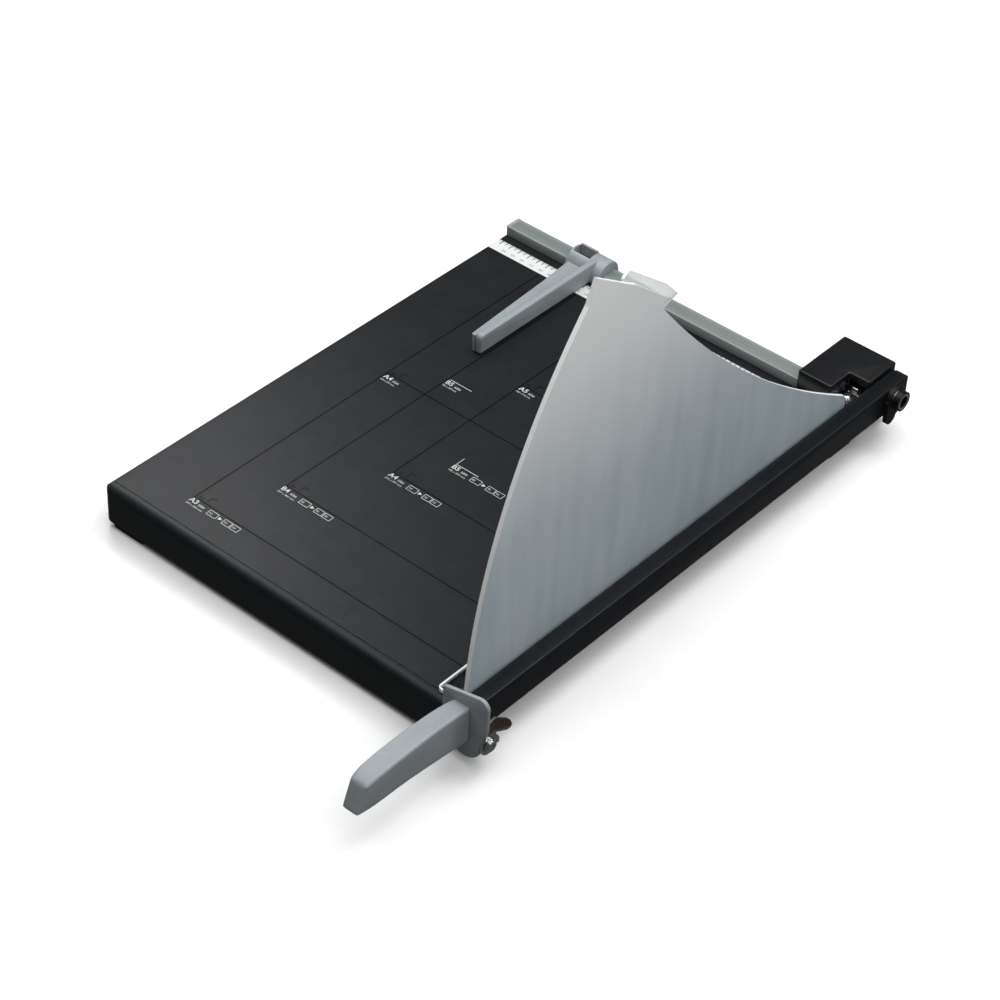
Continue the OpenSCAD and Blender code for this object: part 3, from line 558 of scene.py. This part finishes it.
def black_print():
    width = 0.9
    rule_y = edge("rule_strip", 0, 1)
    right = edge("table", 1, 0) - 1
    parts = []
    for name in ("A3", "B4", "A4"):
        left, front = SHEETS[name]
        parts.append(strip(-left, -front, -left, rule_y, width))
        parts.append(strip(-left, -front, right, -front, width))
        parts += corner_note(name, -left, -front)
    for name in ("A4", "A5"):
        left, front = HALVES[name]
        parts.append(strip(-left, -front, right, -front, width))
        parts += corner_note(name, -left, -front)
    return join(*parts)


def rule_numbers():
    """Distances from the cutting line, one to every centimetre."""
    rule_front = edge("rule_strip", 0, 1)
    return join(*[words(str(10 * n), -10 * n - 2.6, rule_front + 3.2, 3.0) for n in range(4, 35)])


for piece, name, material in (
        (rule_numbers(), "rule_numbers", ink("screen_print_grey", "#55585a", "#606365")),
        (white_print(), "white_print", ink("screen_print_white", "#b9bcbd", "#cfd2d2")),
        (black_print(), "black_print", ink("screen_print_black", "#010101", "#020203"))):
    piece.name = name
    settle(piece, material, "base")


# ------------------------------------------------------------------ handle

FLANGE_THICK = 3.4
GRIP_STATIONS = [  # share of the length, width, low, high and middle in x, in millimetres
    (0.13, 16.8, -10.6, 21.3, 4.4), (0.36, 17.6, -7.4, 22.8, 4.2), (0.62, 18.2, -3.4, 23.4, 4.6),
    (0.84, 17.8, -3.2, 23.0, 5.2), (0.966, 14.8, -3.0, 20.6, 5.2)]
NOSE_LEAN = math.radians(22)


def grip():
    flange_front = edge("arm_bar", 0, 1) - FLANGE_THICK
    length = flange_front - edge("handle", 0, 1)
    low, high, middle, width = -13.0, 19.5, 4.9, 15.6
    y = flange_front - 2
    obj = block("handle_grip", at(middle - width / 2, y, low), at(middle + width / 2, flange_front + 1, high))
    for share, new_width, new_low, new_high, new_middle in GRIP_STATIONS:
        new_y = flange_front - share * length
        front = min(face.center.y for face in obj.data.polygons)
        pick_faces(obj, lambda face: abs(face.center.y - front) < 1e-6)
        bpy.ops.mesh.extrude_region_move(TRANSFORM_OT_translate={"value": (0, (new_y - y) * MM, 0)})
        centre = at(middle, new_y, (low + high) / 2)
        tall = (new_high - new_low) / (high - low)
        bpy.ops.transform.resize(value=(new_width / width, 1, tall), center_override=centre)
        rise = (new_low + new_high - low - high) / 2
        bpy.ops.transform.translate(value=((new_middle - middle) * MM, 0, rise * MM))
        bpy.ops.object.mode_set(mode="OBJECT")
        y, width, low, high, middle = new_y, new_width, new_low, new_high, new_middle
    front = min(face.center.y for face in obj.data.polygons)
    pick_faces(obj, lambda face: abs(face.center.y - front) < 1e-6)
    bpy.ops.transform.rotate(value=NOSE_LEAN, orient_axis="X",
                             center_override=at(middle, y, (low + high) / 2))
    bpy.ops.object.mode_set(mode="OBJECT")
    apply_modifier(obj, "BEVEL", width=2.6 * MM, segments=3, limit_method="ANGLE",
                   angle_limit=math.radians(42), use_clamp_overlap=True)
    apply_modifier(obj, "SUBSURF", levels=2, render_levels=2)
    return obj


def flange():
    outline = [(-13, 24.2), (22.5, 32.6), (28, 28), (27.6, 2), (22.4, -8), (21.5, -22),
               (12, -29), (1, -28.5), (-13, -11)]
    radii = [3, 5, 4, 6, 6, 9, 7, 6, 4]
    back = edge("arm_bar", 0, 1)
    return plate("flange", soften(outline, radii), "XZ", back - FLANGE_THICK, back, 1.0)


def latch_ear():
    y, z, r = -455, -13, 7
    bpy.ops.object.select_all(action="DESELECT")
    bpy.ops.mesh.primitive_cylinder_add(vertices=48, radius=r * MM, depth=7.5 * MM,
                                        location=at(18.75, y, z), rotation=(0, math.pi / 2, 0))
    ear = bpy.context.object
    bpy.ops.object.transform_apply(location=True, rotation=True, scale=True)
    apply_modifier(ear, "BEVEL", width=0.6 * MM, segments=2, limit_method="ANGLE")
    web = block("web", at(15, edge("arm_bar", 0, 1) - 0.5, z - r + 0.5), at(22.4, y, z + r - 0.5))
    return join(ear, web)


handle = join(grip(), flange(), latch_ear())
handle.name = "handle_moulding"
settle(handle, GREY_PLASTIC, "arm", 50)
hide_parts("handle")


# ------------------------------------------------------------------ arm and cover

def enamelled_bar():
    front, tail = edge("arm_bar", 0, 1), edge("arm_bar", 1, 1)
    low, top = edge("arm_bar", 0, 2), edge("arm_bar", 1, 2)
    blade_top = edge("blade", 1, 2)
    face, left, right = edge("blade", 1, 0) + 0.05, edge("arm_bar", 0, 0), edge("arm_bar", 1, 0)
    outline = soften([(front, low), (tail, low), (tail, top), (front, top)], [0, 7, 2, 0])
    bar = plate("bar", outline, "YZ", face, right, 0.9)
    upper = soften([(front, blade_top + 0.1), (tail - 1, blade_top + 0.1), (tail - 1, top), (front, top)],
                   [0, 1, 2, 0])
    step = plate("step", upper, "YZ", left, right - 0.9, 0.8)
    return join(bar, step)


bar = enamelled_bar()
bar.name = "enamelled_bar"
settle(bar, BLACK_ENAMEL, "arm")
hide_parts("arm_bar")


def moulded_cover():
    (x0, y0, z0), (x1, y1, top) = [[edge("pivot_cover", side, axis) for axis in range(3)] for side in (0, 1)]
    notch_x, notch_y, wall, table_back = -19, 22.5, 2, edge("table", 1, 1)
    outline = [(x0, y0), (notch_x, y0), (notch_x, notch_y), (x1, notch_y), (x1, y1), (x0, y1)]
    shell = plate("shell", soften(outline, [2, 1.5, 1, 1.5, 2, 2]), "XY", 0, top, 1.5)
    skirt = plate("skirt", soften([(x0, table_back + 0.1), (x1, table_back + 0.1), (x1, y1), (x0, y1)],
                                  [0.5, 0.5, 2, 2]), "XY", z0, 6, 0.5)
    apply_modifier(shell, "BOOLEAN", operation="UNION", solver="EXACT", object=skirt)
    bpy.data.objects.remove(skirt)
    inner = [(x0 + wall, y0 + wall), (notch_x - wall, y0 + wall), (notch_x - wall, notch_y + wall),
             (x1 - wall, notch_y + wall), (x1 - wall, y1 - wall), (x0 + wall, y1 - wall)]
    cut_away(shell, plate("cavity", inner, "XY", z0 - 1, top - wall, 0.01))
    cut_away(shell, block("under", at(x0 + wall, table_back - 1, z0 - 1), at(x1 - wall, y1 - wall, -0.5)))
    cut_away(shell, block("side_gap", at(x1 - wall - 1, table_back - 1, z0 - 1), at(x1 + 1, 49, -0.7)))
    cut_away(shell, block("fence_slot", at(x0 - 1, -0.4, -1), at(x0 + wall + 1, 16.4, 8.9)))
    cut_away(shell, block("mouth", at(notch_x + 0.5, notch_y - 1, -1), at(x1 - 2.3, notch_y + wall + 1, 14)))
    pivot_y = (edge("pivot_bolt", 0, 1) + edge("pivot_bolt", 1, 1)) / 2
    pivot_z = (edge("pivot_bolt", 0, 2) + edge("pivot_bolt", 1, 2)) / 2
    bpy.ops.object.select_all(action="DESELECT")
    bpy.ops.mesh.primitive_cylinder_add(vertices=64, radius=EYE_RADIUS * MM, depth=6 * MM,
                                        location=at(x1 - 1, pivot_y, pivot_z), rotation=(0, math.pi / 2, 0))
    cut_away(shell, bpy.context.object)
    cut_away(shell, block("bush_way", at(x1 - wall - 1, pivot_y - EYE_RADIUS, -1.2),
                          at(x1 + 1, pivot_y + EYE_RADIUS, pivot_z)))
    return shell


cover = moulded_cover()
cover.name = "moulded_cover"
settle(cover, BLACK_PLASTIC, "base", 40)
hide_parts("pivot_cover")


# ------------------------------------------------------------------ side guide

def guide_head():
    (x0, _, z0), (x1, _, top) = [[edge("guide_arm", side, axis) for axis in range(3)] for side in (0, 1)]
    radius, y, z = 13.5, 8, 4.5
    bpy.ops.object.select_all(action="DESELECT")
    bpy.ops.mesh.primitive_cylinder_add(vertices=96, radius=radius * MM, depth=(x1 - x0) * MM,
                                        location=at((x0 + x1) / 2, y, z), rotation=(0, math.pi / 2, 0))
    head = bpy.context.object
    bpy.ops.object.transform_apply(location=True, rotation=True, scale=True)
    apply_modifier(head, "BEVEL", width=1.4 * MM, segments=4, limit_method="ANGLE")
    cut_away(head, block("below", at(x0 - 1, y - 20, z - 20), at(x1 + 1, y + 20, z0)))
    cut_away(head, block("fence_way", at(x0 - 1, -0.4, -1), at(x1 + 1, 16.4, 8.9)))
    lever_left, lever_right = edge("guide_lever", 0, 0) - 0.5, edge("guide_lever", 1, 0) + 0.5
    cut_away(head, block("thumb_slot", at(lever_left, 2.5, 8.5), at(lever_right, 24, 30)))
    hub_y, hub_z = edge("guide_pin", 0, 1) + 1.15, edge("guide_pin", 0, 2) + 1.15
    bpy.ops.object.select_all(action="DESELECT")
    bpy.ops.mesh.primitive_cylinder_add(vertices=48, radius=2.6 * MM, depth=(lever_right - lever_left) * MM,
                                        location=at((lever_left + lever_right) / 2, hub_y, hub_z),
                                        rotation=(0, math.pi / 2, 0))
    cut_away(head, bpy.context.object)
    return head


def guide_ridge():
    """The upright bar whose right face the paper lies against, its end rounded."""
    right, front = GUIDE_RIGHT, edge("guide_arm", 0, 1)
    top = edge("guide_arm", 1, 2) - 0.1
    outline = soften([(front, 0.4), (8, 0.4), (8, top), (front, top)], [2, 0, 0, 5])
    ridge = plate("ridge", outline, "YZ", right - 6.2, right, 1.8)
    cut_away(ridge, block("fence_way", at(right - 10, -0.4, -1), at(right + 1, 10, 8.9)))
    return ridge


def guide_web():
    """The lower web on the left, which widens towards the head."""
    front, root = edge("guide_arm", 0, 1), edge("guide_arm", 0, 0) + 3
    tip = GUIDE_RIGHT - 10.5
    plan = soften([(GUIDE_RIGHT - 6.6, front + 0.6), (GUIDE_RIGHT - 6.6, -0.6), (root, -0.6), (root + 1, -12),
                   (tip, front + 0.6)], [0.5, 0, 2, 8, 4])
    web = plate("web", plan, "XY", 0.4, 30, 0.01)
    side = [(front - 1, 0), (1, 0), (1, GUIDE_WEB_LOW), (-40, 10.2), (front - 1, GUIDE_WEB_HIGH)]
    slope = plate("slope", side, "YZ", root - 5, GUIDE_RIGHT + 1, 0.01)
    apply_modifier(web, "BOOLEAN", operation="INTERSECT", solver="EXACT", object=slope)
    bpy.data.objects.remove(slope)
    apply_modifier(web, "BEVEL", width=1.5 * MM, segments=4, limit_method="ANGLE",
                   angle_limit=math.radians(50))
    spine = block("spine", at(GUIDE_RIGHT - 8, front + 3, 0.5), at(GUIDE_RIGHT - 3, -0.7, 7))
    return join(web, spine)


GUIDE_RIGHT = edge("guide_arm", 1, 0) - 9
guide = join(guide_head(), guide_ridge(), guide_web())
guide.name = "side_guide"
settle(guide, GREY_PLASTIC, "guide", 40)
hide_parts("guide_arm")


# ------------------------------------------------------------------ studio and camera

def studio():
    bpy.ops.object.select_all(action="DESELECT")
    bpy.ops.mesh.primitive_plane_add(size=30, location=(0, 0, -0.0002))
    floor = bpy.context.object
    floor.name = "floor"
    material, tree, shader = finish_named("matt_white_floor", Roughness=0.9, Specular_IOR_Level=0.1)
    mottled(tree, shader, "#f4f4f4", "#f7f7f7", 60.0, 0.01)
    floor.data.materials.append(material)
    floor.visible_diffuse = False  # not physical: no light comes back off it, so side faces stay dark
    floor.visible_glossy = False
    world = bpy.data.worlds.new("pale_studio")
    bpy.context.scene.world = world
    world.use_nodes = True
    world.node_tree.nodes["Background"].inputs[0].default_value = linear("#f5f7f8")
    world.node_tree.nodes["Background"].inputs[1].default_value = 0.14
    bpy.context.scene.view_settings.view_transform = "Standard"


def soft_light(name, place, aim, size, power):
    bpy.ops.object.light_add(type="AREA", location=place)
    light = bpy.context.object
    light.name = name
    light.data.shape = "DISK"
    light.data.size = size
    light.data.energy = power
    light.rotation_euler = (Vector(aim) - Vector(place)).to_track_quat("-Z", "Y").to_euler()


def camera():
    azimuth, elevation, roll = math.radians(38.965), math.radians(39.996), math.radians(3.077)
    back = Vector((math.sin(azimuth) * math.cos(elevation), -math.cos(azimuth) * math.cos(elevation),
                   math.sin(elevation)))
    level = Vector((math.cos(azimuth), math.sin(azimuth), 0))
    rise = back.cross(level)
    right = level * math.cos(roll) + rise * math.sin(roll)
    up = rise * math.cos(roll) - level * math.sin(roll)
    bpy.ops.object.camera_add(location=at(-130.67, -266.04, 0) + back * 2.0858)
    eye = bpy.context.object
    eye.rotation_euler = Matrix((right, up, back)).transposed().to_euler()
    eye.data.sensor_width = 36
    eye.data.lens = 100.68
    eye.data.clip_start = 0.1
    eye.data.clip_end = 50
    bpy.context.scene.camera = eye


studio()
soft_light("overhead", (0.0, 0.0, 3.4), (0, 0, 0), 5.0, 132)
soft_light("key", (0.5, 0.9, 2.0), (0, 0, 0), 0.9, 10)
soft_light("table_sheen", (-0.7, 0.26, 0.72), (-0.1, -0.3, 0), 0.4, 2.8)
soft_light("guard_wash", (1.0, 0.9, 1.0), (0.15, 0.05, 0.3), 0.5, 5)
soft_light("right_fill", (1.0, -0.35, 1.0), (0.1, -0.1, 0.3), 0.5, 3)
camera()
